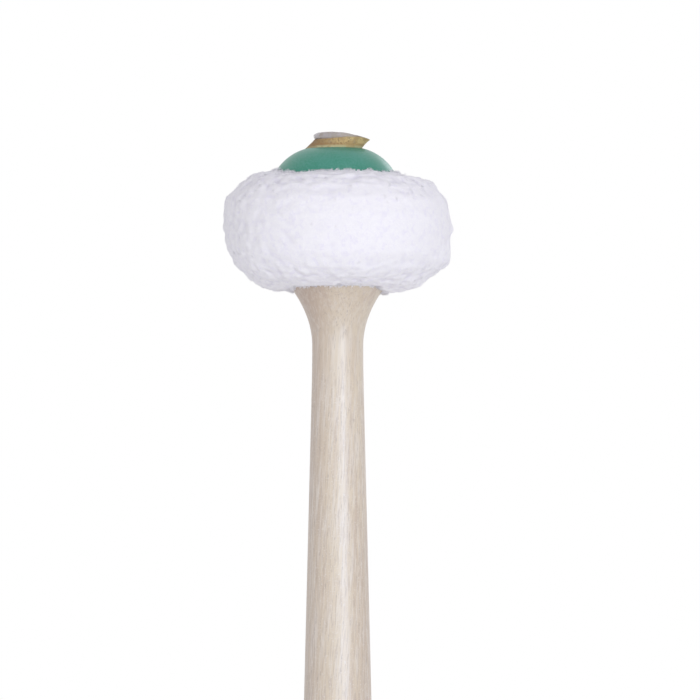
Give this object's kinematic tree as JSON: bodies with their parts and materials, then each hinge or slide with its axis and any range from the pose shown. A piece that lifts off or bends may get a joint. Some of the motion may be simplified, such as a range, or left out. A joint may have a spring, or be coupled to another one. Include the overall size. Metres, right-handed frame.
{
  "type": "timpani mallet",
  "caption": "Timpani mallet: a turned maple shaft that flares to a shoulder under a round, soft white fleece head with a green domed core and a leather disc on top.",
  "frame": {"origin": "on the shaft's axis at the hold, where thumb and finger close on the shaft, 110 mm above the butt's flat end", "axes": "+Z along the shaft towards the head; +X to the right as the picture shows it, and the picture looks along +Y"},
  "size_m": [0.0504, 0.0504, 0.3678],
  "materials": {
    "maple": "satin",
    "green_core": "satin",
    "leather": "matte",
    "felt": "matte",
    "fleece": "matte",
    "thread": "matte",
    "glue": "gloss"
  },
  "bodies": {
    "root": {"shaft": "maple", "lower_washer": "leather", "core": "green_core", "inner_felt": "felt", "fleece_cover": "fleece", "bottom_drawstring": "thread", "top_drawstring": "thread", "seam_thread": "thread", "leather_disc": "leather", "adhesive_cap": "glue"}
  },
  "joints": []
}
